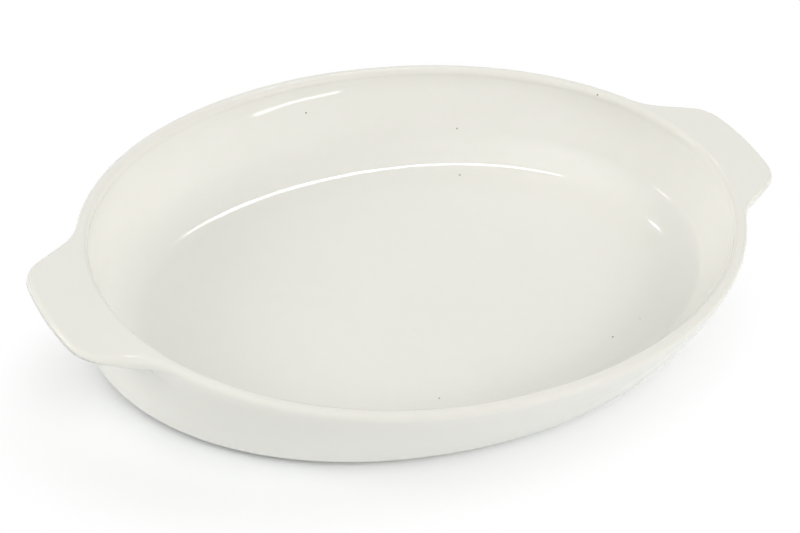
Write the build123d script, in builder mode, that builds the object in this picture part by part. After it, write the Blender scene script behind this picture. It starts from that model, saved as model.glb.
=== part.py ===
"""Oval gratin dish with two flat ears, fired in one piece on an unglazed foot.

Millimetres, +Z up, X along the dish. The origin is on the table, under the middle
of the dish. The body of the dish is the zones that a potter shapes one after the
other: the basin, the lip band that closes its mouth, and the two ears that run out
from the lip band. They meet face to face and share every curve that crosses a seam.
"""

from build123d import *
from math import atan2, degrees, hypot, sqrt
import os

# Oval of the lip, without the ears
lip_length = 320.0
lip_breadth = 224.0
lip_width = 5.6

# Heights above the table, and the height of the lip band itself
lip_height = 45.0
lip_band_height = 6.0
foot_height = 1.5

# Lean of the wall, from the lip band down to the underside
end_inset = 8.5
side_inset = 14.9
wall_curve_power = 1.29
wall_thickness = 6.0
floor_thickness = 6.0

# Ears, seen from above, and how thick they still are at the tip
ear_reach = 22.0
ear_tip_width = 54.4
ear_flare = 9.0
ear_end_bow = 3.2
ear_corner_radius = 16.2
ear_root_radius = 29.0
ear_tip_thickness = 4.0

# Roundings: the two top edges of the lip, the outside of the base, the corner of the hollow
lip_outer_radius = 2.4
lip_inner_radius = 2.0
base_round_width = 4.0
base_round_height = 4.0
floor_round_width = 20.0
floor_round_height = 15.0

# Unglazed ring that the dish stands on
foot_margin = 8.5
foot_width = 4.5
foot_taper = 0.5

seat_height = lip_height - lip_band_height
half_length = lip_length / 2
half_breadth = lip_breadth / 2
ear_tip_x = half_length + ear_reach
floor_top = foot_height + floor_thickness
foot_half_length = half_length - end_inset - foot_margin
foot_half_breadth = half_breadth - side_inset - foot_margin

# Shares of each rounding's height and of the plain wall's height where a section is drawn
floor_round_shares = (0.0, 0.05, 0.2, 0.5)
base_round_shares = (0.0, 0.3)
wall_shares = (0.0, 0.5, 1.0)


def lean_share(height):
    """Share of the whole inset at a height: none at the seat, all of it at the underside."""
    left_share = max(seat_height - height, 0.0) / (seat_height - foot_height)
    return left_share**wall_curve_power


def round_inset(climb, width, height):
    """How far a quarter-round corner stands in from the wall, at a climb above its foot."""
    left_share = max(1.0 - climb / height, 0.0)
    return width * (1.0 - sqrt(1.0 - left_share * left_share))


def outer_axes(height):
    """Half axes of the outside of the wall at a height."""
    lean = lean_share(height)
    corner = round_inset(height - foot_height, base_round_width, base_round_height)
    return (
        half_length - end_inset * lean - corner,
        half_breadth - side_inset * lean - corner,
    )


def inner_axes(height):
    """Half axes of the hollow at a height. The wall thickens a little towards the floor."""
    lean = lean_share(height)
    wall = lip_width + (wall_thickness - lip_width) * lean
    corner = round_inset(height - floor_top, floor_round_width, floor_round_height)
    return (
        half_length - wall - end_inset * lean - corner,
        half_breadth - wall - side_inset * lean - corner,
    )


def drawn_levels(bottom, round_height, round_shares):
    """Heights of the sections, from the bottom of a rounding up to the seat of the lip band."""
    corner_levels = [bottom + share * round_height for share in round_shares]
    wall_foot = bottom + round_height
    return corner_levels + [wall_foot + share * (seat_height - wall_foot) for share in wall_shares]


def draw_oval(long_half, short_half):
    """Oval of eight arcs, close to an ellipse: two ends, two sides and four shoulders."""
    end_radius = short_half * short_half / long_half
    side_radius = long_half * long_half / short_half
    shoulder_radius = (long_half + short_half) / 2
    end_x = long_half - end_radius
    side_y = short_half - side_radius
    # The shoulder's centre lies where its arc runs smoothly into the end and into the side
    to_end = shoulder_radius - end_radius
    to_side = side_radius - shoulder_radius
    span = hypot(end_x, side_y)
    along = (to_end * to_end - to_side * to_side + span * span) / (2 * span)
    across = sqrt(to_end * to_end - along * along)
    shoulder_x = end_x - (along * end_x - across * side_y) / span
    shoulder_y = (along * side_y + across * end_x) / span
    end_turn = degrees(atan2(-shoulder_y, end_x - shoulder_x))
    side_turn = degrees(atan2(shoulder_y - side_y, shoulder_x))
    side_sweep = 180 - 2 * side_turn
    shoulder_sweep = side_turn - end_turn
    with BuildLine() as oval:
        CenterArc((end_x, 0), end_radius, -end_turn, 2 * end_turn)
        CenterArc((shoulder_x, shoulder_y), shoulder_radius, end_turn, shoulder_sweep)
        CenterArc((0, side_y), side_radius, side_turn, side_sweep)
        CenterArc((-shoulder_x, shoulder_y), shoulder_radius, 180 - side_turn, shoulder_sweep)
        CenterArc((-end_x, 0), end_radius, 180 - end_turn, 2 * end_turn)
        CenterArc((-shoulder_x, -shoulder_y), shoulder_radius, 180 + end_turn, shoulder_sweep)
        CenterArc((0, -side_y), side_radius, 180 + side_turn, side_sweep)
        CenterArc((shoulder_x, -shoulder_y), shoulder_radius, -side_turn, shoulder_sweep)
    make_face(oval.edges())


# Hollow of the dish, from the floor up to the seat of the lip band
with BuildPart() as cavity:
    for level in drawn_levels(floor_top, floor_round_height, floor_round_shares):
        with BuildSketch(Plane.XY.offset(level)):
            draw_oval(*inner_axes(level))
    loft(ruled=True)

# Basin: floor and wall, up to the seat of the lip band
with BuildPart() as basin:
    for level in drawn_levels(foot_height, base_round_height, base_round_shares):
        with BuildSketch(Plane.XY.offset(level)):
            draw_oval(*outer_axes(level))
    loft(ruled=True)
    add(cavity.part, mode=Mode.SUBTRACT)

# Lip band and ears in one outline, split at the ear seams further down
with BuildPart() as brim:
    with BuildSketch(Plane.XY.offset(seat_height)) as plan:
        with BuildLine():
            # The ear widens by its flare on each side until the end of the oval, and the
            # lines of its sides run on inwards from there until they are well inside
            corner_x = ear_tip_x - ear_end_bow
            inner_x = half_length - 2 * ear_reach
            widening = ear_flare * (corner_x - inner_x) / (corner_x - half_length)
            inner_y = ear_tip_width / 2 + widening
            SagittaArc(
                (corner_x, -ear_tip_width / 2), (corner_x, ear_tip_width / 2), -ear_end_bow
            )
            Polyline(
                (corner_x, ear_tip_width / 2),
                (inner_x, inner_y),
                (inner_x, -inner_y),
                (corner_x, -ear_tip_width / 2),
            )
        make_face()
        fillet(plan.vertices().group_by(Axis.X)[-1], radius=ear_corner_radius)
        mirror(about=Plane.YZ)
        draw_oval(half_length, half_breadth)
        # Growing and then shrinking the outline rounds only its hollow corners, the ear roots
        offset(amount=ear_root_radius)
        offset(amount=-ear_root_radius)
    extrude(amount=lip_band_height)
    with BuildSketch(Plane.XY.offset(seat_height)):
        draw_oval(half_length - lip_width, half_breadth - lip_width)
    extrude(amount=lip_band_height, mode=Mode.SUBTRACT)
    top = brim.faces().sort_by(Axis.Z)[-1]
    fillet(top.outer_wire().edges(), radius=lip_outer_radius)
    top = brim.faces().sort_by(Axis.Z)[-1]
    fillet(top.inner_wires()[0].edges(), radius=lip_inner_radius)

# Lip band: the mouth of the dish and the roots of the ears
with BuildPart() as rim:
    add(brim.part)
    split(bisect_by=Plane.YZ.offset(half_length), keep=Keep.BOTTOM)
    split(bisect_by=Plane.YZ.offset(-half_length), keep=Keep.TOP)

# Ears: tabs that carry on the lip band outside the oval. They are flat on top, and their
# underside climbs a little towards the tip
with BuildPart() as right_ear:
    add(brim.part)
    split(bisect_by=Plane.YZ.offset(half_length), keep=Keep.TOP)
    with BuildSketch(Plane.XZ):
        with BuildLine():
            Polyline(
                (half_length, seat_height),
                (ear_tip_x, lip_height - ear_tip_thickness),
                (ear_tip_x, seat_height),
                close=True,
            )
        make_face()
    extrude(amount=half_breadth, both=True, mode=Mode.SUBTRACT)

with BuildPart() as left_ear:
    mirror(right_ear.part, about=Plane.YZ)

# Foot: the ring left bare of glaze under the basin, a little narrower at the sole
with BuildPart() as foot_ring:
    with BuildSketch(Plane.XY):
        draw_oval(foot_half_length - foot_taper, foot_half_breadth - foot_taper)
    with BuildSketch(Plane.XY.offset(foot_height)):
        draw_oval(foot_half_length, foot_half_breadth)
    loft(ruled=True)
    with BuildSketch(Plane.XY):
        draw_oval(foot_half_length - foot_width, foot_half_breadth - foot_width)
    extrude(amount=foot_height, mode=Mode.SUBTRACT)

basin.part.label = "basin"
rim.part.label = "rim"
left_ear.part.label = "left_ear"
right_ear.part.label = "right_ear"
foot_ring.part.label = "foot_ring"

os.makedirs("parts", exist_ok=True)
export_step(basin.part, "parts/basin.step")
export_step(rim.part, "parts/rim.step")
export_step(left_ear.part, "parts/left_ear.step")
export_step(right_ear.part, "parts/right_ear.step")
export_step(foot_ring.part, "parts/foot_ring.step")
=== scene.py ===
"""Looks of an oval gratin dish: white glazed ware with two flat ears and a bare foot.

Metres, +Z up, X along the dish. The glazed skin is one grid of points. Stations run
round the outline of the lip and the ears, and at each station a profile runs from the
middle of the floor, up the inside, over the lip or the ear, down the outside and under
the base. The grid is divided into the pieces that the dish is built from: the basin,
the lip band, the two ears. The unglazed foot ring is a piece of its own.
"""

import bmesh
import bpy
import numpy as np
from mathutils import Matrix, Vector


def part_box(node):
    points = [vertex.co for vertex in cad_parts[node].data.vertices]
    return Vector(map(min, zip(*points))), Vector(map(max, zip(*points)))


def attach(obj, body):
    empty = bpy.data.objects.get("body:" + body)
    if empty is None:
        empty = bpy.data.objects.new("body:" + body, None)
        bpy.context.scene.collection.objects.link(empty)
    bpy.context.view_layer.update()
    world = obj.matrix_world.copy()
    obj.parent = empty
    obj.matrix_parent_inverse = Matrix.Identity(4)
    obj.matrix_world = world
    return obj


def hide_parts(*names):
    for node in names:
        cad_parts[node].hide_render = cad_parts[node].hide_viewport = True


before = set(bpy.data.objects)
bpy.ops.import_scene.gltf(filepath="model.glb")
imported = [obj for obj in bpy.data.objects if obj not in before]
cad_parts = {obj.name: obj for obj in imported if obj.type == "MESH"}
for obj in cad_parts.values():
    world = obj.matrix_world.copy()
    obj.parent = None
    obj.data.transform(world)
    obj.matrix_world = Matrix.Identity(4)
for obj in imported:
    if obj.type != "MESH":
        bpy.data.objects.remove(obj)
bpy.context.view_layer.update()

# Sizes that the frame gives
rim_low, rim_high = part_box("rim")
half_length, half_breadth, lip_height = rim_high
seat_height = rim_low[2]
ear_tip_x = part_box("right_ear")[1][0]
ear_root_half_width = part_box("right_ear")[1][1]
foot_half_length, foot_half_breadth, foot_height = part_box("foot_ring")[1]

# Sizes of the dish, as its maker would name them
lip_width = 0.0057
side_dip = 0.0026
dip_power = 1.9
kiln_warp = 0.0013
oval_fullness = 0.0051
wall_thickness = 0.0060
end_swell = 0.0050
side_swell = 0.0100
floor_thickness = 0.0060
end_inset = 0.0080
side_inset = 0.0151
wall_curve_power = 1.295
lip_outer_width, lip_outer_height = 0.0024, 0.0026
lip_inner_width, lip_inner_height = 0.0024, 0.0028
base_round_width, base_round_height = 0.0040, 0.0040
floor_round_width, floor_round_height = 0.0155, 0.0085
ear_tip_half_width = 0.0273
ear_end_bow = 0.0033
ear_corner_radius = 0.0166
ear_root_radius = 0.0295
ear_tip_thickness = 0.0036
ear_under_radius = 0.0016
ear_fillet_radius = 0.0065
ear_fillet_share = 0.75
ear_blend_reach = 0.0060
foot_width = 0.0045
foot_taper = 0.0005
foot_edge_radius = 0.0004
foot_sharp_angle = np.radians(40.0)
thin_glaze_reach = 0.0016

# Divisions of the grid
ear_steps = 58
oval_steps = 136
floor_rows = 16
floor_round_rows = 16
inner_wall_rows = 8
band_rows = 3
inner_lip_rows = 8
land_rows = 10
outer_lip_rows = 8
ear_side_rows = 4
ear_under_round_rows = 6
ear_under_rows = 6
ear_fillet_rows = 8
outer_wall_rows = 8
base_round_rows = 8
underside_rows = 10
foot_round_rows = 4

# The root arc's end is looked for between these turns of the oval, and lengths along the
# oval are summed over this many steps
root_turn_low, root_turn_high = 0.15, 0.9
search_steps = 20000
walk_steps = 4000
# Share of an ear's profiles that is spread evenly over the oval behind it. The rest bunches
# towards the root.
even_turn_share = 0.8
# Lengths that count as nothing
tiny_length = 1e-9
cut_reach = 1e-7

floor_top = foot_height + floor_thickness


def oval_point(turn):
    """Point of the lip's oval and its outward unit normal. The oval is an ellipse whose
    shoulders stand out a little: (a cos t, b sin t) times 1 + fullness sin^2 2t."""
    swell = 1.0 + oval_fullness * np.sin(2 * turn) ** 2
    swell_slope = 2 * oval_fullness * np.sin(4 * turn)
    along_x = half_length * (swell_slope * np.cos(turn) - swell * np.sin(turn))
    along_y = half_breadth * (swell_slope * np.sin(turn) + swell * np.cos(turn))
    point = np.stack(
        [half_length * swell * np.cos(turn), half_breadth * swell * np.sin(turn)], axis=-1
    )
    normal = np.stack([along_y, -along_x], axis=-1)
    return point, normal / np.linalg.norm(normal, axis=-1, keepdims=True)


def smooth_step(value):
    """0 below 0, 1 above 1, and 3v^2 - 2v^3 between."""
    share = np.clip(value, 0.0, 1.0)
    return share * share * (3.0 - 2.0 * share)


def outline_quarter():
    """Outline of the lip and one side of an ear, from the middle of the ear's end to the
    middle of a long side: the bowed end, a corner arc, a straight side, a root arc that
    turns the other way, and the oval. Returns points, inward normals and, for each, the
    turn of the oval's point that its profile crosses."""
    corner_x = ear_tip_x - ear_end_bow
    tip = np.array([corner_x, ear_tip_half_width])
    along = np.array([half_length, ear_root_half_width]) - tip
    along /= np.linalg.norm(along)
    inward = np.array([-along[1], along[0]])
    bow_radius = (ear_tip_half_width**2 + ear_end_bow**2) / (2 * ear_end_bow)
    bow_centre = np.array([ear_tip_x - bow_radius, 0.0])

    # Corner arc: inside the bow's circle, and a radius in from the side's line
    start = tip + ear_corner_radius * inward - bow_centre
    reach = bow_radius - ear_corner_radius
    slide = -start @ along - np.sqrt((start @ along) ** 2 - start @ start + reach**2)
    corner_centre = bow_centre + start + slide * along
    bow_end = np.arctan2(*(corner_centre - bow_centre)[::-1])
    side_start = corner_centre - ear_corner_radius * inward
    corner_end = np.arctan2(*(-inward)[::-1])

    # Root arc: its centre is a radius outside both the side's line and the oval
    turns = np.linspace(root_turn_low, root_turn_high, search_steps + 1)
    points, outward = oval_point(turns)
    miss = (points + ear_root_radius * outward - tip) @ inward + ear_root_radius
    order = np.argsort(miss)
    root_turn = np.interp(0.0, miss[order], turns[order])
    point, outward = oval_point(root_turn)
    root_centre = point + ear_root_radius * outward
    side_end = root_centre + ear_root_radius * inward
    root_start = np.arctan2(*inward[::-1])
    root_end = np.arctan2(*(-outward)[::-1])

    root_sweep = (root_end - root_start + np.pi) % (2 * np.pi) - np.pi
    root_way = np.sign(root_sweep)
    lengths = np.array(
        [
            bow_radius * bow_end,
            ear_corner_radius * (corner_end - bow_end),
            np.linalg.norm(side_end - side_start),
            ear_root_radius * abs(root_sweep),
        ]
    )
    ends = np.cumsum(lengths)
    run = np.linspace(0.0, ends[-1], ear_steps + 1)

    def arc(centre, radius, angle):
        way = np.stack([np.cos(angle), np.sin(angle)], axis=-1)
        return centre + radius * way, way

    bow, bow_way = arc(bow_centre, bow_radius, run / bow_radius)
    corner_angle = bow_end + (run - ends[0]) / ear_corner_radius
    corner, corner_way = arc(corner_centre, ear_corner_radius, corner_angle)
    side = side_start + (run - ends[1])[:, None] * along
    root_angle = root_start + root_way * (run - ends[2]) / ear_root_radius
    root, root_way_out = arc(root_centre, ear_root_radius, root_angle)
    part = np.searchsorted(ends[:-1], run)[:, None]
    ear_points = np.select([part == 0, part == 1, part == 2, part == 3], [bow, corner, side, root])
    ear_inward = np.select(
        [part == 0, part == 1, part == 2, part == 3],
        [-bow_way, -corner_way, np.broadcast_to(inward, side.shape), root_way_out],
    )
    share = run / run[-1]
    ear_turns = root_turn * (even_turn_share * share + (1.0 - even_turn_share) * share**3)

    # The rest of the quarter lies on the oval, in even steps along it
    dense = np.linspace(root_turn, np.pi / 2, walk_steps + 1)
    dense_points, _ = oval_point(dense)
    steps = np.linalg.norm(np.diff(dense_points, axis=0), axis=1)
    walked = np.concatenate([[0.0], np.cumsum(steps)])
    oval_turns = np.interp(np.linspace(0.0, walked[-1], oval_steps + 1), walked, dense)[1:]
    oval_points, oval_outward = oval_point(oval_turns)
    return (
        np.concatenate([ear_points, oval_points]),
        np.concatenate([ear_inward, -oval_outward]),
        np.concatenate([ear_turns, oval_turns]),
    )


def whole_outline():
    """The quarter's stations mirrored into all four quarters, counter-clockwise."""
    points, inward, turns = outline_quarter()
    flip_x, flip_y = np.array([-1.0, 1.0]), np.array([1.0, -1.0])
    all_points = [points, points[-2::-1] * flip_x, points[1:] * -1.0, points[-2:0:-1] * flip_y]
    all_inward = [inward, inward[-2::-1] * flip_x, inward[1:] * -1.0, inward[-2:0:-1] * flip_y]
    all_turns = [turns, np.pi - turns[-2::-1], np.pi + turns[1:], 2 * np.pi - turns[-2:0:-1]]
    return np.concatenate(all_points), np.concatenate(all_inward), np.concatenate(all_turns)


outline, outline_inward, oval_turns = whole_outline()
oval_line, oval_outward = oval_point(oval_turns)
stations = len(outline)
stick_out = outline - oval_line
stick_out_length = np.linalg.norm(stick_out, axis=1)
ear_share = smooth_step(stick_out_length / ear_blend_reach)
# The wall leans more at the long sides than at the ends
wall_inset = end_inset + (side_inset - end_inset) * np.sin(oval_turns) ** 2
# Towards the floor the wall grows thicker inside, also more at the long sides
wall_swell = end_swell + (side_swell - end_swell) * np.sin(oval_turns) ** 2


def lean_share(height):
    """Share of the whole inset at a height: none at the seat, all of it at the underside."""
    left = np.clip((seat_height - height) / (seat_height - foot_height), 0.0, 1.0)
    return left**wall_curve_power


def lip_top(plan):
    """Height of the lip: highest at the ears' ends, lower along the sides by the dip, and
    lower again by the warp at the two shoulders, opposite each other, that sagged in the kiln:
    h - dip (1 - (x / tip)^2)^power - warp max(0, sin 2a), with a the bearing on the oval."""
    share = np.clip(np.abs(plan[..., 0]) / ear_tip_x, 0.0, 1.0)
    x, y = plan[..., 0] / half_length, plan[..., 1] / half_breadth
    sag = np.maximum(2 * x * y / (x * x + y * y), 0.0)
    return lip_height - side_dip * (1.0 - share**2) ** dip_power - kiln_warp * sag


def ear_underside(plan):
    """Height of an ear's underside: the seat at the lip's oval, climbing evenly to the tip."""
    share = np.clip((np.abs(plan[..., 0]) - half_length) / (ear_tip_x - half_length), 0.0, 1.0)
    return seat_height + (lip_height - ear_tip_thickness - seat_height) * share


def inside_oval(inset):
    """Points of the curve that runs an even distance inside the lip's oval."""
    return oval_line - np.asarray(inset)[..., None] * oval_outward


def outer_wall_inset(height):
    return wall_inset * lean_share(height)


def inner_wall_inset(height):
    lean = lean_share(height)
    return lip_width + (wall_thickness - lip_width + wall_swell) * lean + wall_inset * lean


def rows_of(inset, height):
    """Rows of points from rows of insets and heights."""
    inset, height = np.broadcast_arrays(inset, height)
    return np.concatenate([inside_oval(inset), height[..., None]], axis=-1)


def column(values):
    return np.asarray(values)[:, None]


def make_profile():
    """All rows of the skin, from the floor's first ring to the underside's last, with the
    numbers of the rows where the lip band meets the basin inside and outside, and of the
    rows on the lip's two rounded edges."""
    everywhere = np.ones(stations)
    rows = []

    # Floor: the curve at its edge, scaled towards the middle
    floor_edge = inside_oval(inner_wall_inset(floor_top) + floor_round_width)
    share = column(np.linspace(0.0, 1.0, floor_rows + 1)[1:-1])
    floor = floor_edge[None] * share[..., None]
    rows.append(np.concatenate([floor, np.full(floor.shape[:2] + (1,), floor_top)], axis=-1))

    # Quarter of an ellipse from the floor up into the wall
    angle = column(np.linspace(0.0, np.pi / 2, floor_round_rows + 1))
    height = floor_top + floor_round_height * (1.0 - np.cos(angle)) * everywhere
    corner_inset = floor_round_width * (1.0 - np.sin(angle))
    rows.append(rows_of(inner_wall_inset(height) + corner_inset, height))

    # Inner wall up to the seat, then the lip band up to its rounding
    top = lip_top(inside_oval(lip_width * everywhere))
    wall_foot = floor_top + floor_round_height
    share = column(np.linspace(0.0, 1.0, inner_wall_rows + 1)[1:])
    height = wall_foot + (seat_height - wall_foot) * share * everywhere
    rows.append(rows_of(inner_wall_inset(height), height))
    inner_seat_row = sum(len(part) for part in rows) - 1
    share = column(np.linspace(0.0, 1.0, band_rows + 1)[1:-1])
    height = seat_height + (top - lip_inner_height - seat_height) * share
    rows.append(rows_of(lip_width * everywhere, height))

    # Inner rounding of the lip
    angle = column(np.linspace(0.0, np.pi / 2, inner_lip_rows + 1))
    inset = lip_width - lip_inner_width * (1.0 - np.cos(angle)) * everywhere
    plan = inside_oval(inset)
    height = lip_top(plan) - lip_inner_height * (1.0 - np.sin(angle))
    rows.append(np.concatenate([plan, height[..., None]], axis=-1))
    inner_edge_row = sum(len(part) for part in rows) - 1 - inner_lip_rows // 2

    # Land of the lip, and the ears' flat tops
    inner_edge, outer_edge = plan[-1], outline + lip_outer_width * outline_inward
    share = column(np.linspace(0.0, 1.0, land_rows + 1)[1:-1])[..., None]
    plan = inner_edge + (outer_edge - inner_edge) * share
    rows.append(np.concatenate([plan, lip_top(plan)[..., None]], axis=-1))

    # Outer rounding, square to the outline
    angle = column(np.linspace(0.0, np.pi / 2, outer_lip_rows + 1))
    plan = outline + (lip_outer_width * (1.0 - np.sin(angle)))[..., None] * outline_inward
    height = lip_top(plan) - lip_outer_height * (1.0 - np.cos(angle))
    rows.append(np.concatenate([plan, height[..., None]], axis=-1))
    side_top = height[-1]
    outer_edge_row = sum(len(part) for part in rows) - 1 - outer_lip_rows // 2
    edge_rows = (inner_edge_row, outer_edge_row)

    # Under the lip: an ear has a side, a rounded lower edge, a flat underside and a hollow
    # fillet into the wall, and the plain lip just runs on down the wall. Each station mixes
    # the two by how far the outline stands out from the oval there.
    fillet_width = np.minimum(ear_fillet_radius, ear_fillet_share * stick_out_length)
    fillet_foot = seat_height - ear_fillet_radius
    side_share = column(np.linspace(0.0, 1.0, ear_side_rows + 1)[1:])
    edge_foot = ear_underside(outline)
    side_height = side_top + (edge_foot + ear_under_radius - side_top) * side_share
    angle = column(np.linspace(0.0, np.pi / 2, ear_under_round_rows + 1)[1:])
    under_height = edge_foot + ear_under_radius * (1.0 - np.sin(angle))
    under_inset = ear_under_radius * (1.0 - np.cos(angle)) * everywhere
    under_line = outline + ear_under_radius * outline_inward
    reach = np.linalg.norm(under_line - oval_line, axis=1)
    fillet_reach_share = fillet_width / np.maximum(reach, fillet_width + tiny_length)
    fillet_start = oval_line + (under_line - oval_line) * fillet_reach_share[:, None]
    flat_share = column(np.linspace(0.0, 1.0, ear_under_rows + 1)[1:])[..., None]
    flat_plan = under_line + (fillet_start - under_line) * flat_share
    angle = column(np.linspace(0.0, np.pi / 2, ear_fillet_rows + 1)[1:])
    hollow_height = seat_height - ear_fillet_radius * (1.0 - np.cos(angle)) * everywhere
    hollow_out = (fillet_start - oval_line) * (1.0 - np.sin(angle))[..., None]
    hollow_plan = inside_oval(outer_wall_inset(hollow_height)) + hollow_out
    ear_plan = np.concatenate(
        [
            np.broadcast_to(outline, (ear_side_rows,) + outline.shape),
            outline + under_inset[..., None] * outline_inward,
            flat_plan,
            hollow_plan,
        ]
    )
    ear_height = np.concatenate(
        [side_height, under_height, ear_underside(flat_plan), hollow_height]
    )
    above = ear_side_rows + ear_under_round_rows + ear_under_rows
    plain_above = side_top + (seat_height - side_top) * column(np.linspace(0.0, 1.0, above + 1)[1:])
    below_share = column(np.linspace(0.0, 1.0, ear_fillet_rows + 1)[1:])
    plain_below = seat_height + (fillet_foot - seat_height) * below_share * everywhere
    plain_height = np.concatenate([plain_above, plain_below])
    run_down = (side_top - plain_height) / (side_top - fillet_foot)
    plain_plan = inside_oval(outer_wall_inset(plain_height))
    plain_plan = plain_plan + stick_out * (1.0 - smooth_step(run_down))[..., None]
    plan = plain_plan + (ear_plan - plain_plan) * ear_share[:, None]
    height = plain_height + (ear_height - plain_height) * ear_share
    rows.append(np.concatenate([plan, height[..., None]], axis=-1))
    outer_seat_row = sum(len(part) for part in rows) - 1 - ear_fillet_rows

    # Outer wall, the rounding of the base and the underside
    base_foot = foot_height + base_round_height
    share = column(np.linspace(0.0, 1.0, outer_wall_rows + 1)[1:])
    height = fillet_foot + (base_foot - fillet_foot) * share * everywhere
    rows.append(rows_of(outer_wall_inset(height), height))
    angle = column(np.linspace(0.0, np.pi / 2, base_round_rows + 1)[1:])
    height = foot_height + base_round_height * (1.0 - np.sin(angle)) * everywhere
    corner_inset = base_round_width * (1.0 - np.cos(angle))
    rows.append(rows_of(outer_wall_inset(height) + corner_inset, height))
    base_edge = rows[-1][-1, :, :2]
    share = column(np.linspace(1.0, 0.0, underside_rows + 1)[1:-1])[..., None]
    plan = base_edge * share
    rows.append(np.concatenate([plan, np.full(plan.shape[:2] + (1,), foot_height)], axis=-1))
    return np.concatenate(rows), inner_seat_row, outer_seat_row, edge_rows


def thin_glaze(grid, edge_rows):
    """How much the glaze has run off: 1 on the edge rows, and e^-(distance / reach)^2 away
    from the nearer of them, with the distance taken within each station's profile."""
    away = [np.linalg.norm(grid - grid[row], axis=-1) for row in edge_rows]
    return np.exp(-((np.minimum(*away) / thin_glaze_reach) ** 2))


def grid_normals(grid):
    """Unit normals of a grid that closes on itself along its stations: the cross product of
    the steps along the profile and along the stations, each taken over both neighbours."""
    along_rows = np.gradient(grid, axis=0)
    along_stations = np.roll(grid, -1, axis=1) - np.roll(grid, 1, axis=1)
    normal = np.cross(along_rows, along_stations)
    return normal / np.linalg.norm(normal, axis=-1, keepdims=True)


def band_faces(upper, lower, count):
    """Four-sided faces between two rows of point numbers, round the whole dish."""
    here = np.arange(count)
    there = np.roll(here, -1)
    return np.stack([upper + here, lower + here, lower + there, upper + there], axis=1)


def closed_piece(name, points, normals, thinness, faces, flat_faces):
    """A mesh from point rows, which keeps each point's skin normal and thinness of glaze.
    Its flat faces, which lie against the next piece, are marked as hidden."""
    mesh = bpy.data.meshes.new(name)
    mesh.from_pydata(points.tolist(), [], faces)
    layer = mesh.attributes.new("skin_normal", "FLOAT_VECTOR", "POINT")
    layer.data.foreach_set("vector", normals.astype(np.float32).ravel())
    layer = mesh.attributes.new("thin_glaze", "FLOAT", "POINT")
    layer.data.foreach_set("value", thinness.astype(np.float32).ravel())
    flag = mesh.attributes.new("hidden_face", "INT", "FACE")
    flag.data.foreach_set("value", np.asarray(flat_faces, dtype=np.int32))
    piece = bpy.data.objects.new(name, mesh)
    bpy.context.scene.collection.objects.link(piece)
    return piece


def shade_from_skin(piece):
    """Sets each corner's normal: the skin's on the skin, the face's own on a hidden face."""
    mesh = piece.data
    mesh.polygons.foreach_set("use_smooth", np.ones(len(mesh.polygons), dtype=bool))
    vertex_normals = np.empty(len(mesh.vertices) * 3, dtype=np.float32)
    mesh.attributes["skin_normal"].data.foreach_get("vector", vertex_normals)
    vertex_normals = vertex_normals.reshape(-1, 3)
    corner_vertex = np.empty(len(mesh.loops), dtype=np.int32)
    mesh.loops.foreach_get("vertex_index", corner_vertex)
    totals = np.empty(len(mesh.polygons), dtype=np.int32)
    mesh.polygons.foreach_get("loop_total", totals)
    hidden = np.empty(len(mesh.polygons), dtype=np.int32)
    mesh.attributes["hidden_face"].data.foreach_get("value", hidden)
    face_normals = np.empty(len(mesh.polygons) * 3, dtype=np.float32)
    mesh.polygons.foreach_get("normal", face_normals)
    face_normals = np.repeat(face_normals.reshape(-1, 3), totals, axis=0)
    corner_hidden = np.repeat(hidden, totals)[:, None] > 0
    normals = np.where(corner_hidden, face_normals, vertex_normals[corner_vertex])
    normals /= np.linalg.norm(normals, axis=1, keepdims=True)
    mesh.normals_split_custom_set(normals.tolist())
    mesh.attributes.remove(mesh.attributes["skin_normal"])
    mesh.attributes.remove(mesh.attributes["hidden_face"])


def make_basin(grid, normals, thinness, inner_row, outer_row):
    """Floor, walls and underside: the inner rows up to the seat, the outer rows from there
    down, a pole in the middle of the floor and one in the middle of the underside."""
    kept = np.concatenate([np.arange(inner_row + 1), np.arange(outer_row, len(grid))])
    points = np.concatenate([grid[kept].reshape(-1, 3), [[0, 0, floor_top], [0, 0, foot_height]]])
    all_normals = np.concatenate([normals[kept].reshape(-1, 3), [[0, 0, 1], [0, 0, -1]]])
    all_thinness = np.concatenate([thinness[kept].ravel(), [0, 0]])
    starts = np.arange(len(kept)) * stations
    faces, hidden = [], []
    for upper, lower in zip(starts[:-1], starts[1:]):
        faces += band_faces(upper, lower, stations).tolist()
        hidden += [int(upper == starts[inner_row])] * stations
    here = np.arange(stations)
    there = np.roll(here, -1)
    top_pole, low_pole = len(points) - 2, len(points) - 1
    faces += np.stack([np.full(stations, top_pole), here, there], axis=1).tolist()
    last = starts[-1]
    faces += np.stack([last + here, np.full(stations, low_pole), last + there], axis=1).tolist()
    hidden += [0] * (2 * stations)
    return closed_piece("glazed_basin", points, all_normals, all_thinness, faces, hidden)


def make_band(grid, normals, thinness, inner_row, outer_row):
    """Lip band with both ears: the rows between the seats, closed by the flat seat itself."""
    points = grid[inner_row : outer_row + 1].reshape(-1, 3)
    band_normals = normals[inner_row : outer_row + 1].reshape(-1, 3)
    band_thinness = thinness[inner_row : outer_row + 1].ravel()
    starts = np.arange(outer_row - inner_row + 1) * stations
    faces, hidden = [], []
    for upper, lower in zip(starts, np.roll(starts, -1)):
        faces += band_faces(upper, lower, stations).tolist()
        hidden += [int(lower == 0)] * stations
    return closed_piece("glazed_lip_band", points, band_normals, band_thinness, faces, hidden)


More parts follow.
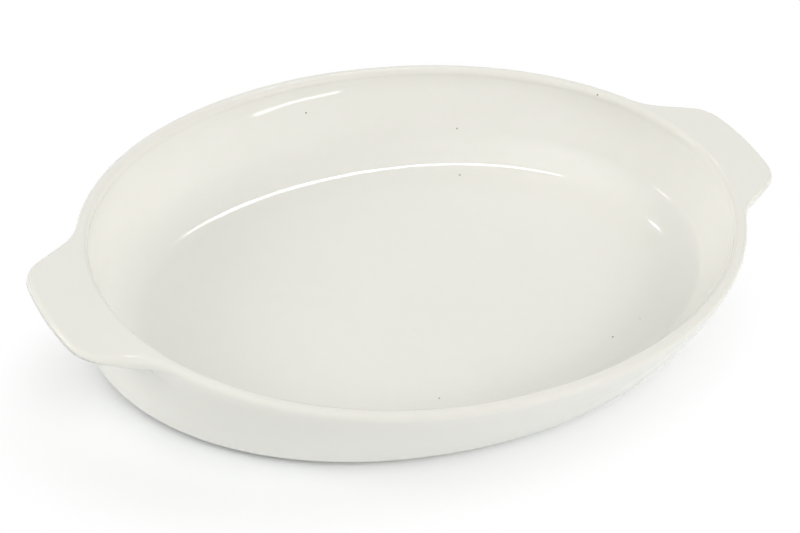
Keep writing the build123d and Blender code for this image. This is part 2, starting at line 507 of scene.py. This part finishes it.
def cut_at(piece, name, cuts):
    """A copy of a piece cut off at upright planes. Each cut is a place along X and the way,
    +1 or -1, in which everything is taken away. The cut faces are closed flat."""
    mesh = piece.data.copy()
    mesh.name = name
    work = bmesh.new()
    work.from_mesh(mesh)
    flag = work.faces.layers.int["hidden_face"]
    for place, way in cuts:
        everything = work.verts[:] + work.edges[:] + work.faces[:]
        found = bmesh.ops.bisect_plane(
            work,
            geom=everything,
            dist=cut_reach,
            plane_co=(place, 0.0, 0.0),
            plane_no=(way, 0.0, 0.0),
            clear_outer=True,
        )
        rims = [item for item in found["geom_cut"] if isinstance(item, bmesh.types.BMEdge)]
        closed = bmesh.ops.contextual_create(work, geom=rims)["faces"]
        for face in closed:
            face[flag] = 1
        bmesh.ops.triangulate(work, faces=closed)
    work.to_mesh(mesh)
    work.free()
    cut = bpy.data.objects.new(name, mesh)
    bpy.context.scene.collection.objects.link(cut)
    return cut


def make_foot_ring():
    """Ring under the basin: a rounded rectangle in section, a little narrower at the sole,
    carried along the curves that run inside the lip's oval."""
    angle = np.linspace(0.0, np.pi / 2, foot_round_rows + 1)
    edge = foot_edge_radius
    outer = foot_taper * (1.0 - edge / foot_height)
    outer_corner = outer + edge * (1.0 - np.cos(angle))
    inner_corner = foot_width - edge * (1.0 - np.sin(angle))
    across = np.concatenate([[0.0], outer_corner, inner_corner, [foot_width]])
    height = np.concatenate(
        [[foot_height], edge * (1.0 - np.sin(angle)), edge * (1.0 - np.cos(angle)), [foot_height]]
    )
    turn = np.linspace(0.0, 2 * np.pi, 4 * oval_steps, endpoint=False)
    long_half = foot_half_length - across[:, None]
    short_half = foot_half_breadth - across[:, None]
    level = height[:, None] * np.ones_like(turn)
    grid = np.stack([long_half * np.cos(turn), short_half * np.sin(turn), level], axis=-1)
    count = grid.shape[1]
    starts = np.arange(len(grid)) * count
    faces = []
    for upper, lower in zip(starts, np.roll(starts, -1)):
        faces += band_faces(upper, lower, count).tolist()
    mesh = bpy.data.meshes.new("bare_foot_ring")
    mesh.from_pydata(grid.reshape(-1, 3).tolist(), [], faces)
    mesh.polygons.foreach_set("use_smooth", np.ones(len(mesh.polygons), dtype=bool))
    ring = bpy.data.objects.new("bare_foot_ring", mesh)
    bpy.context.scene.collection.objects.link(ring)
    mesh.set_sharp_from_angle(angle=foot_sharp_angle)
    return ring


grid, inner_seat_row, outer_seat_row, edge_rows = make_profile()
skin_normals = grid_normals(grid)
thinness = thin_glaze(grid, edge_rows)
basin = make_basin(grid, skin_normals, thinness, inner_seat_row, outer_seat_row)
whole_band = make_band(grid, skin_normals, thinness, inner_seat_row, outer_seat_row)
lip_band = cut_at(whole_band, "glazed_lip", [(half_length, 1), (-half_length, -1)])
right_ear = cut_at(whole_band, "glazed_right_ear", [(half_length, -1)])
left_ear = cut_at(whole_band, "glazed_left_ear", [(-half_length, 1)])
bpy.data.objects.remove(whole_band)
for piece in (basin, lip_band, right_ear, left_ear):
    shade_from_skin(piece)
foot_ring = make_foot_ring()


# Tones, scales and heights of the glaze and the clay
glaze_light_tone = (0.908, 0.902, 0.872)
glaze_dark_tone = (0.890, 0.884, 0.850)
glaze_edge_tone = (0.860, 0.835, 0.775)
speck_tone = (0.30, 0.24, 0.17)
clay_light_tone = (0.83, 0.81, 0.76)
clay_dark_tone = (0.74, 0.70, 0.63)
refractive_index = 1.5
# Inputs of the unevenness group, and the detail of each one's noise
scale_labels = ("Cloud Scale", "Mottle Scale", "Wave Scale")
noise_details = (2.0, 4.0, 1.0)
# Cloud, mottle and wave scales, in noise cells per metre
glaze_scales = (13.0, 170.0, 55.0)
clay_scales = (45.0, 1400.0, 2200.0)
# Shares of cloud and mottle in the tone mask, and the part of the mask that is used
cloud_share, mottle_share = 0.65, 0.35
glaze_mask_range = (0.35, 0.65)
wide_mask_range = (0.3, 0.7)
glaze_roughness = (0.04, 0.065)
clay_roughness = (0.68, 0.82)
edge_tone_share = 0.30
# Cells per metre, the reach of a speck as a share of a cell, and its depth in wave heights
speck_cells = 40.0
speck_core, speck_reach = 0.014, 0.024
speck_depth = 1.5
glaze_wave_height = 0.00006
clay_grain_height = 0.00015
clay_grain_strength = 0.6


def new_material(name):
    material = bpy.data.materials.new(name)
    material.use_nodes = True
    nodes, links = material.node_tree.nodes, material.node_tree.links
    nodes.clear()
    output = nodes.new("ShaderNodeOutputMaterial")
    return material, nodes, links, output


def plain_value(nodes, links, operation, *inputs):
    """A Math node. Each input is a number or another node's output."""
    node = nodes.new("ShaderNodeMath")
    node.operation = operation
    for socket, value in zip(node.inputs, inputs):
        if isinstance(value, (int, float)):
            socket.default_value = value
        else:
            links.new(value, socket)
    return node.outputs["Value"]


def seen_directly(nodes, links):
    """1 for rays from the camera, mirrored rays and rays through glass, 0 for the rest."""
    path = nodes.new("ShaderNodeLightPath")
    camera_ray, glossy_ray = path.outputs["Is Camera Ray"], path.outputs["Is Glossy Ray"]
    either = plain_value(nodes, links, "MAXIMUM", camera_ray, glossy_ray)
    return plain_value(nodes, links, "MAXIMUM", either, path.outputs["Is Transmission Ray"])


def fired_unevenness():
    """Shader group for a fired surface: slow clouds and fine mottle on object coordinates,
    mixed into one tone mask, and a height that the bump reads."""
    group = bpy.data.node_groups.new("fired_unevenness", "ShaderNodeTree")
    for label in scale_labels:
        group.interface.new_socket(label, in_out="INPUT", socket_type="NodeSocketFloat")
    for label in ("Tone", "Height"):
        group.interface.new_socket(label, in_out="OUTPUT", socket_type="NodeSocketFloat")
    nodes, links = group.nodes, group.links
    given = nodes.new("NodeGroupInput")
    result = nodes.new("NodeGroupOutput")
    place = nodes.new("ShaderNodeTexCoord")
    masks = {}
    for label, detail in zip(scale_labels, noise_details):
        noise = nodes.new("ShaderNodeTexNoise")
        noise.inputs["Detail"].default_value = detail
        links.new(place.outputs["Object"], noise.inputs["Vector"])
        links.new(given.outputs[label], noise.inputs["Scale"])
        masks[label] = noise.outputs["Fac"]
    fine = plain_value(nodes, links, "MULTIPLY", masks["Mottle Scale"], mottle_share)
    tone = plain_value(nodes, links, "MULTIPLY_ADD", masks["Cloud Scale"], cloud_share, fine)
    links.new(tone, result.inputs["Tone"])
    links.new(masks["Wave Scale"], result.inputs["Height"])
    return group


def tone_mix(nodes, links, factor, first, second):
    """A colour between two others, each given as three numbers or as a node's output."""
    mixed = nodes.new("ShaderNodeMix")
    mixed.data_type = "RGBA"
    links.new(factor, mixed.inputs["Factor"])
    for socket, value in ((mixed.inputs[6], first), (mixed.inputs[7], second)):
        if isinstance(value, tuple):
            socket.default_value = (*value, 1.0)
        else:
            links.new(value, socket)
    return mixed.outputs[2]


def remapped(nodes, links, value, old_range, new_range):
    """A value carried over evenly from one range to another, and held at its ends."""
    node = nodes.new("ShaderNodeMapRange")
    node.inputs["From Min"].default_value, node.inputs["From Max"].default_value = old_range
    node.inputs["To Min"].default_value, node.inputs["To Max"].default_value = new_range
    links.new(value, node.inputs["Value"])
    return node.outputs["Result"]


def placed_unevenness(nodes, unevenness, scales):
    """The unevenness group in a material, with that material's own scales."""
    uneven = nodes.new("ShaderNodeGroup")
    uneven.node_tree = unevenness
    for label, scale in zip(scale_labels, scales):
        uneven.inputs[label].default_value = scale
    return uneven


def bumped(nodes, links, shader, relief, distance, strength=1.0):
    """Lets a height mask tilt the shader's normal."""
    bump = nodes.new("ShaderNodeBump")
    bump.inputs["Strength"].default_value = strength
    bump.inputs["Distance"].default_value = distance
    links.new(relief, bump.inputs["Height"])
    links.new(bump.outputs["Normal"], shader.inputs["Normal"])


def glaze_material(unevenness):
    """Thick warm white glaze. It is a touch thinner and warmer on the edges of the lip and
    the ears, its surface waves a little, and a few pinholes and iron specks are left in it."""
    material, nodes, links, output = new_material("warm_white_glaze")
    shader = nodes.new("ShaderNodeBsdfPrincipled")
    shader.inputs["IOR"].default_value = refractive_index
    uneven = placed_unevenness(nodes, unevenness, glaze_scales)
    tone, wave = uneven.outputs["Tone"], uneven.outputs["Height"]
    cloud = remapped(nodes, links, tone, glaze_mask_range, (0.0, 1.0))
    body = tone_mix(nodes, links, cloud, glaze_light_tone, glaze_dark_tone)

    thin = nodes.new("ShaderNodeAttribute")
    thin.attribute_name = "thin_glaze"
    thin_share = plain_value(nodes, links, "MULTIPLY", thin.outputs["Fac"], edge_tone_share)
    edged = tone_mix(nodes, links, thin_share, body, glaze_edge_tone)

    # Specks: the cells of a loose cell pattern have a point each, and only some of the points
    # come near the surface
    place = nodes.new("ShaderNodeTexCoord")
    cells = nodes.new("ShaderNodeTexVoronoi")
    cells.inputs["Scale"].default_value = speck_cells
    links.new(place.outputs["Object"], cells.inputs["Vector"])
    speck = remapped(nodes, links, cells.outputs["Distance"], (speck_core, speck_reach), (1.0, 0.0))
    speckled = tone_mix(nodes, links, speck, edged, speck_tone)
    links.new(speckled, shader.inputs["Base Color"])
    gloss = remapped(nodes, links, tone, wide_mask_range, glaze_roughness)
    links.new(gloss, shader.inputs["Roughness"])

    pit = plain_value(nodes, links, "MULTIPLY", speck, -speck_depth)
    relief = plain_value(nodes, links, "ADD", wave, pit)
    bumped(nodes, links, shader, relief, glaze_wave_height)
    links.new(shader.outputs["BSDF"], output.inputs["Surface"])
    return material


def clay_material(unevenness):
    """Bare fired clay of the foot: matt, sandy, and a little stained."""
    material, nodes, links, output = new_material("bare_clay")
    shader = nodes.new("ShaderNodeBsdfPrincipled")
    shader.inputs["IOR"].default_value = refractive_index
    uneven = placed_unevenness(nodes, unevenness, clay_scales)
    tone, grain = uneven.outputs["Tone"], uneven.outputs["Height"]
    stain = remapped(nodes, links, tone, wide_mask_range, (0.0, 1.0))
    stained = tone_mix(nodes, links, stain, clay_light_tone, clay_dark_tone)
    links.new(stained, shader.inputs["Base Color"])
    rough = remapped(nodes, links, tone, wide_mask_range, clay_roughness)
    links.new(rough, shader.inputs["Roughness"])
    bumped(nodes, links, shader, grain, clay_grain_height, clay_grain_strength)
    links.new(shader.outputs["BSDF"], output.inputs["Surface"])
    return material


unevenness = fired_unevenness()
glaze = glaze_material(unevenness)
clay = clay_material(unevenness)
glazed_nodes = ((basin, "basin"), (lip_band, "rim"), (right_ear, "right_ear"), (left_ear, "left_ear"))
for piece, node in glazed_nodes:
    piece.data.materials.append(glaze)
    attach(piece, "root")
    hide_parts(node)
foot_ring.data.materials.append(clay)
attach(foot_ring, "root")
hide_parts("foot_ring")

# Floor
floor_size = 12.0
floor_mesh = bpy.data.meshes.new("floor")
half = floor_size / 2
floor_corners = [(-half, -half, 0), (half, -half, 0), (half, half, 0), (-half, half, 0)]
floor_mesh.from_pydata(floor_corners, [], [(0, 1, 2, 3)])
floor = bpy.data.objects.new("floor", floor_mesh)
bpy.context.scene.collection.objects.link(floor)

# The shade round the dish fades to white across an oval, measured in its own half axes
paper_tone = (0.92, 0.935, 0.955, 1.0)
white_tone = (1.0, 1.0, 1.0, 1.0)
shade_centre = (-0.024, -0.029, 0.0)
shade_half_axes = (0.160, 0.082, 1.0)
fade_start, fade_end = 0.75, 1.23


def floor_material():
    """White sweep: plain matt paper, which turns into pure white for the camera away from the
    dish, so that the shadow beside the dish stays."""
    material, nodes, links, output = new_material("white_sweep")
    paper = nodes.new("ShaderNodeBsdfDiffuse")
    paper.inputs["Color"].default_value = paper_tone
    white = nodes.new("ShaderNodeEmission")
    white.inputs["Color"].default_value = white_tone
    white.inputs["Strength"].default_value = 1.0
    mixed = nodes.new("ShaderNodeMixShader")
    place = nodes.new("ShaderNodeNewGeometry")
    squash = nodes.new("ShaderNodeVectorMath")
    squash.operation = "DIVIDE"
    squash.inputs[1].default_value = shade_half_axes
    centred = nodes.new("ShaderNodeVectorMath")
    centred.operation = "SUBTRACT"
    centred.inputs[1].default_value = shade_centre
    far = nodes.new("ShaderNodeVectorMath")
    far.operation = "LENGTH"
    fade = nodes.new("ShaderNodeMapRange")
    fade.interpolation_type = "SMOOTHSTEP"
    fade.inputs["From Min"].default_value = fade_start
    fade.inputs["From Max"].default_value = fade_end
    links.new(place.outputs["Position"], centred.inputs[0])
    links.new(centred.outputs["Vector"], squash.inputs[0])
    links.new(squash.outputs["Vector"], far.inputs[0])
    links.new(far.outputs["Value"], fade.inputs["Value"])
    share = plain_value(nodes, links, "MULTIPLY", fade.outputs["Result"], seen_directly(nodes, links))
    links.new(share, mixed.inputs["Fac"])
    links.new(paper.outputs["BSDF"], mixed.inputs[1])
    links.new(white.outputs["Emission"], mixed.inputs[2])
    links.new(mixed.outputs["Shader"], output.inputs["Surface"])
    return material


floor.data.materials.append(floor_material())

# Camera
camera_azimuth = np.radians(-39.954)
camera_elevation = np.radians(39.450)
camera_roll = np.radians(13.490)
camera_distance = 1.08211
camera_target = Vector((0.00712, 0.018456, 0.0))
lens_length = 107.388
sensor_width = 36.0
far_end = 50.0
back = Vector(
    (
        np.sin(camera_azimuth) * np.cos(camera_elevation),
        -np.cos(camera_azimuth) * np.cos(camera_elevation),
        np.sin(camera_elevation),
    )
)
level_right = (-back).cross(Vector((0, 0, 1))).normalized()
level_up = level_right.cross(-back)
right = level_right * np.cos(camera_roll) + level_up * np.sin(camera_roll)
up = level_up * np.cos(camera_roll) - level_right * np.sin(camera_roll)
camera_data = bpy.data.cameras.new("camera")
camera_data.lens = lens_length
camera_data.sensor_width = sensor_width
camera_data.clip_end = far_end
camera = bpy.data.objects.new("camera", camera_data)
place = Matrix((right, up, back)).transposed().to_4x4()
place.translation = camera_target + back * camera_distance
camera.matrix_world = place
bpy.context.scene.collection.objects.link(camera)
bpy.context.scene.camera = camera

# White tent: its tint, how narrow its lights are, and each one's bearing, height and peak
tent_tone = (0.968, 0.960, 0.915, 1.0)
tent_narrowness = 14.0
tent_lights = (
    (15.0, 26.0, 0.45),
    (30.0, 6.0, 1.05),
    (90.0, 6.0, 0.35),
    (135.0, 26.0, 2.45),
    (165.0, 26.0, 2.40),
    (202.5, 48.0, 0.12),
    (247.5, 48.0, 0.50),
    (292.5, 48.0, 4.85),
    (315.0, 26.0, 0.30),
    (345.0, 16.0, 0.55),
)


def studio_world():
    """White tent. It looks plain white, and what it sheds is the sum of broad soft lights:
    peak * max(0, cosine of the angle off the light's bearing) ** narrowness each."""
    world = bpy.data.worlds.new("white_tent")
    world.use_nodes = True
    nodes, links = world.node_tree.nodes, world.node_tree.links
    lit = nodes["Background"]
    lit.inputs["Color"].default_value = tent_tone
    place = nodes.new("ShaderNodeTexCoord")
    total = 0.0
    for azimuth, elevation, peak in tent_lights:
        turn, rise = np.radians(azimuth), np.radians(elevation)
        facing = nodes.new("ShaderNodeVectorMath")
        facing.operation = "DOT_PRODUCT"
        facing.inputs[1].default_value = (
            np.cos(rise) * np.cos(turn),
            np.cos(rise) * np.sin(turn),
            np.sin(rise),
        )
        links.new(place.outputs["Generated"], facing.inputs[0])
        kept = plain_value(nodes, links, "MAXIMUM", facing.outputs["Value"], 0.0)
        lobe = plain_value(nodes, links, "POWER", kept, tent_narrowness)
        total = plain_value(nodes, links, "MULTIPLY_ADD", lobe, peak, total)
    links.new(total, lit.inputs["Strength"])
    white = nodes.new("ShaderNodeBackground")
    white.inputs["Color"].default_value = white_tone
    mixed = nodes.new("ShaderNodeMixShader")
    links.new(seen_directly(nodes, links), mixed.inputs["Fac"])
    links.new(lit.outputs["Background"], mixed.inputs[1])
    links.new(white.outputs["Background"], mixed.inputs[2])
    links.new(mixed.outputs["Shader"], nodes["World Output"].inputs["Surface"])
    return world


bpy.context.scene.world = studio_world()


def softbox(name, azimuth, elevation, width, height, radiance):
    """Rectangular lamp that looks at the dish from a bearing and a height, given in degrees."""
    turn, rise = np.radians(azimuth), np.radians(elevation)
    way = Vector((np.cos(rise) * np.cos(turn), np.cos(rise) * np.sin(turn), np.sin(rise)))
    data = bpy.data.lights.new(name, "AREA")
    data.shape = "RECTANGLE"
    data.size, data.size_y = width, height
    data.energy = radiance * np.pi * width * height
    lamp = bpy.data.objects.new(name, data)
    lamp.location = way * lamp_distance
    lamp.rotation_euler = way.to_track_quat("Z", "Y").to_euler()
    bpy.context.scene.collection.objects.link(lamp)


# Lamps that leave highlights in the glaze: bearing, height, width, height of the lamp itself
# and radiance
lamp_distance = 2.0
softbox("lamp_behind", 42.5, 51.0, 0.10, 0.09, 14.0)
softbox("lamp_behind_left", 57.5, 48.5, 0.14, 0.08, 12.0)
softbox("lamp_front", -58.0, 8.0, 0.60, 0.12, 7.0)
softbox("lamp_left", 155.0, 24.0, 0.50, 0.50, 4.0)

view = bpy.context.scene.view_settings
view.view_transform = "Standard"
